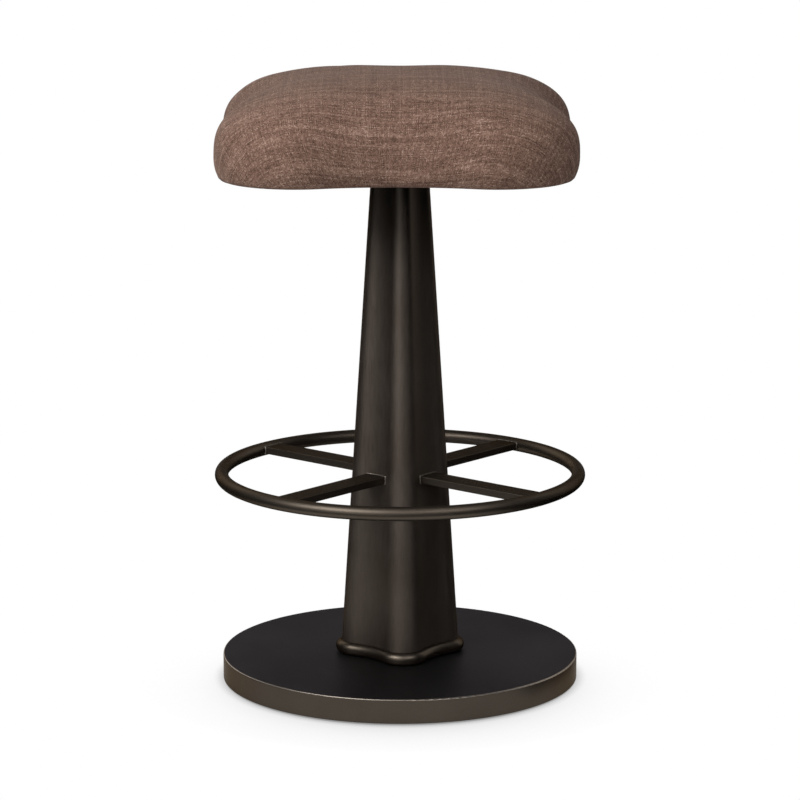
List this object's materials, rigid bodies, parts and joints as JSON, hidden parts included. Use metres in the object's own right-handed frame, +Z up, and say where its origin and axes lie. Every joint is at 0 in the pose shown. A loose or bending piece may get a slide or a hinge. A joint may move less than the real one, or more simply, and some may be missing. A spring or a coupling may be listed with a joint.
{
  "type": "swivel bar stool",
  "caption": "Swivel bar stool: lobed upholstered seat turning on a tapering fluted metal column, with a round foot ring on flat spokes and a heavy disc base.",
  "frame": {"origin": "on the floor below the middle of the base", "axes": "+Z up along the swivel axis, front towards -Y, +X to the right seen from the front"},
  "size_m": [0.4609, 0.461, 0.7619],
  "materials": {
    "base_metal": "satin dark bronze paint",
    "dark_bronze": "satin dark bronze",
    "black_paint": "matte black paint",
    "bare_steel": "zinc plated",
    "bush_bronze": "turned bronze",
    "black_plastic": "fine texture",
    "plywood": "raw plywood",
    "foam": "open-cell foam",
    "upholstery": "heathered linen-like weave",
    "dust_cloth": "black non-woven cloth"
  },
  "bodies": {
    "stand": {"base_casting": "base_metal", "base_bottom_cover": "black_plastic", "floor_glides": "black_plastic", "base_bolts": "bare_steel", "base_washers": "bare_steel", "foot_plate": "black_paint", "column_shell": "dark_bronze", "foot_bead": "dark_bronze", "foot_ring": "dark_bronze", "spoke_front_left": "dark_bronze", "spoke_front_right": "dark_bronze", "spoke_back_left": "dark_bronze", "spoke_back_right": "dark_bronze", "head_plate": "black_paint", "bearing_hub": "black_paint", "upper_bush": "bush_bronze", "lower_bush": "bush_bronze", "lower_race": "bare_steel"},
    "bearing_cage": {"ball_cage": "bush_bronze", "thrust_balls": "bare_steel"},
    "seat": {"upper_race": "bare_steel", "spindle": "bare_steel", "spindle_washer": "bare_steel", "retaining_ring": "bare_steel", "seat_plate": "black_paint", "seat_screws": "bare_steel", "tee_nuts": "bare_steel", "seat_board": "plywood", "seat_foam": "foam", "seat_cover": "upholstery", "dust_cover": "dust_cloth", "dust_cover_staples": "bare_steel"}
  },
  "joints": [
    {"name": "seat_swivel", "type": "hinge", "parent": "stand", "child": "seat", "pos_m": [0, 0, 0.6375], "axis": [0, 0, 1], "continuous": true},
    {"name": "cage_turn", "type": "hinge", "parent": "stand", "child": "bearing_cage", "pos_m": [0, 0, 0.6375], "axis": [0, 0, 1], "continuous": true}
  ],
  "couplings": [
    {"joint": "cage_turn", "follows": "seat_swivel", "ratio": 0.5}
  ]
}
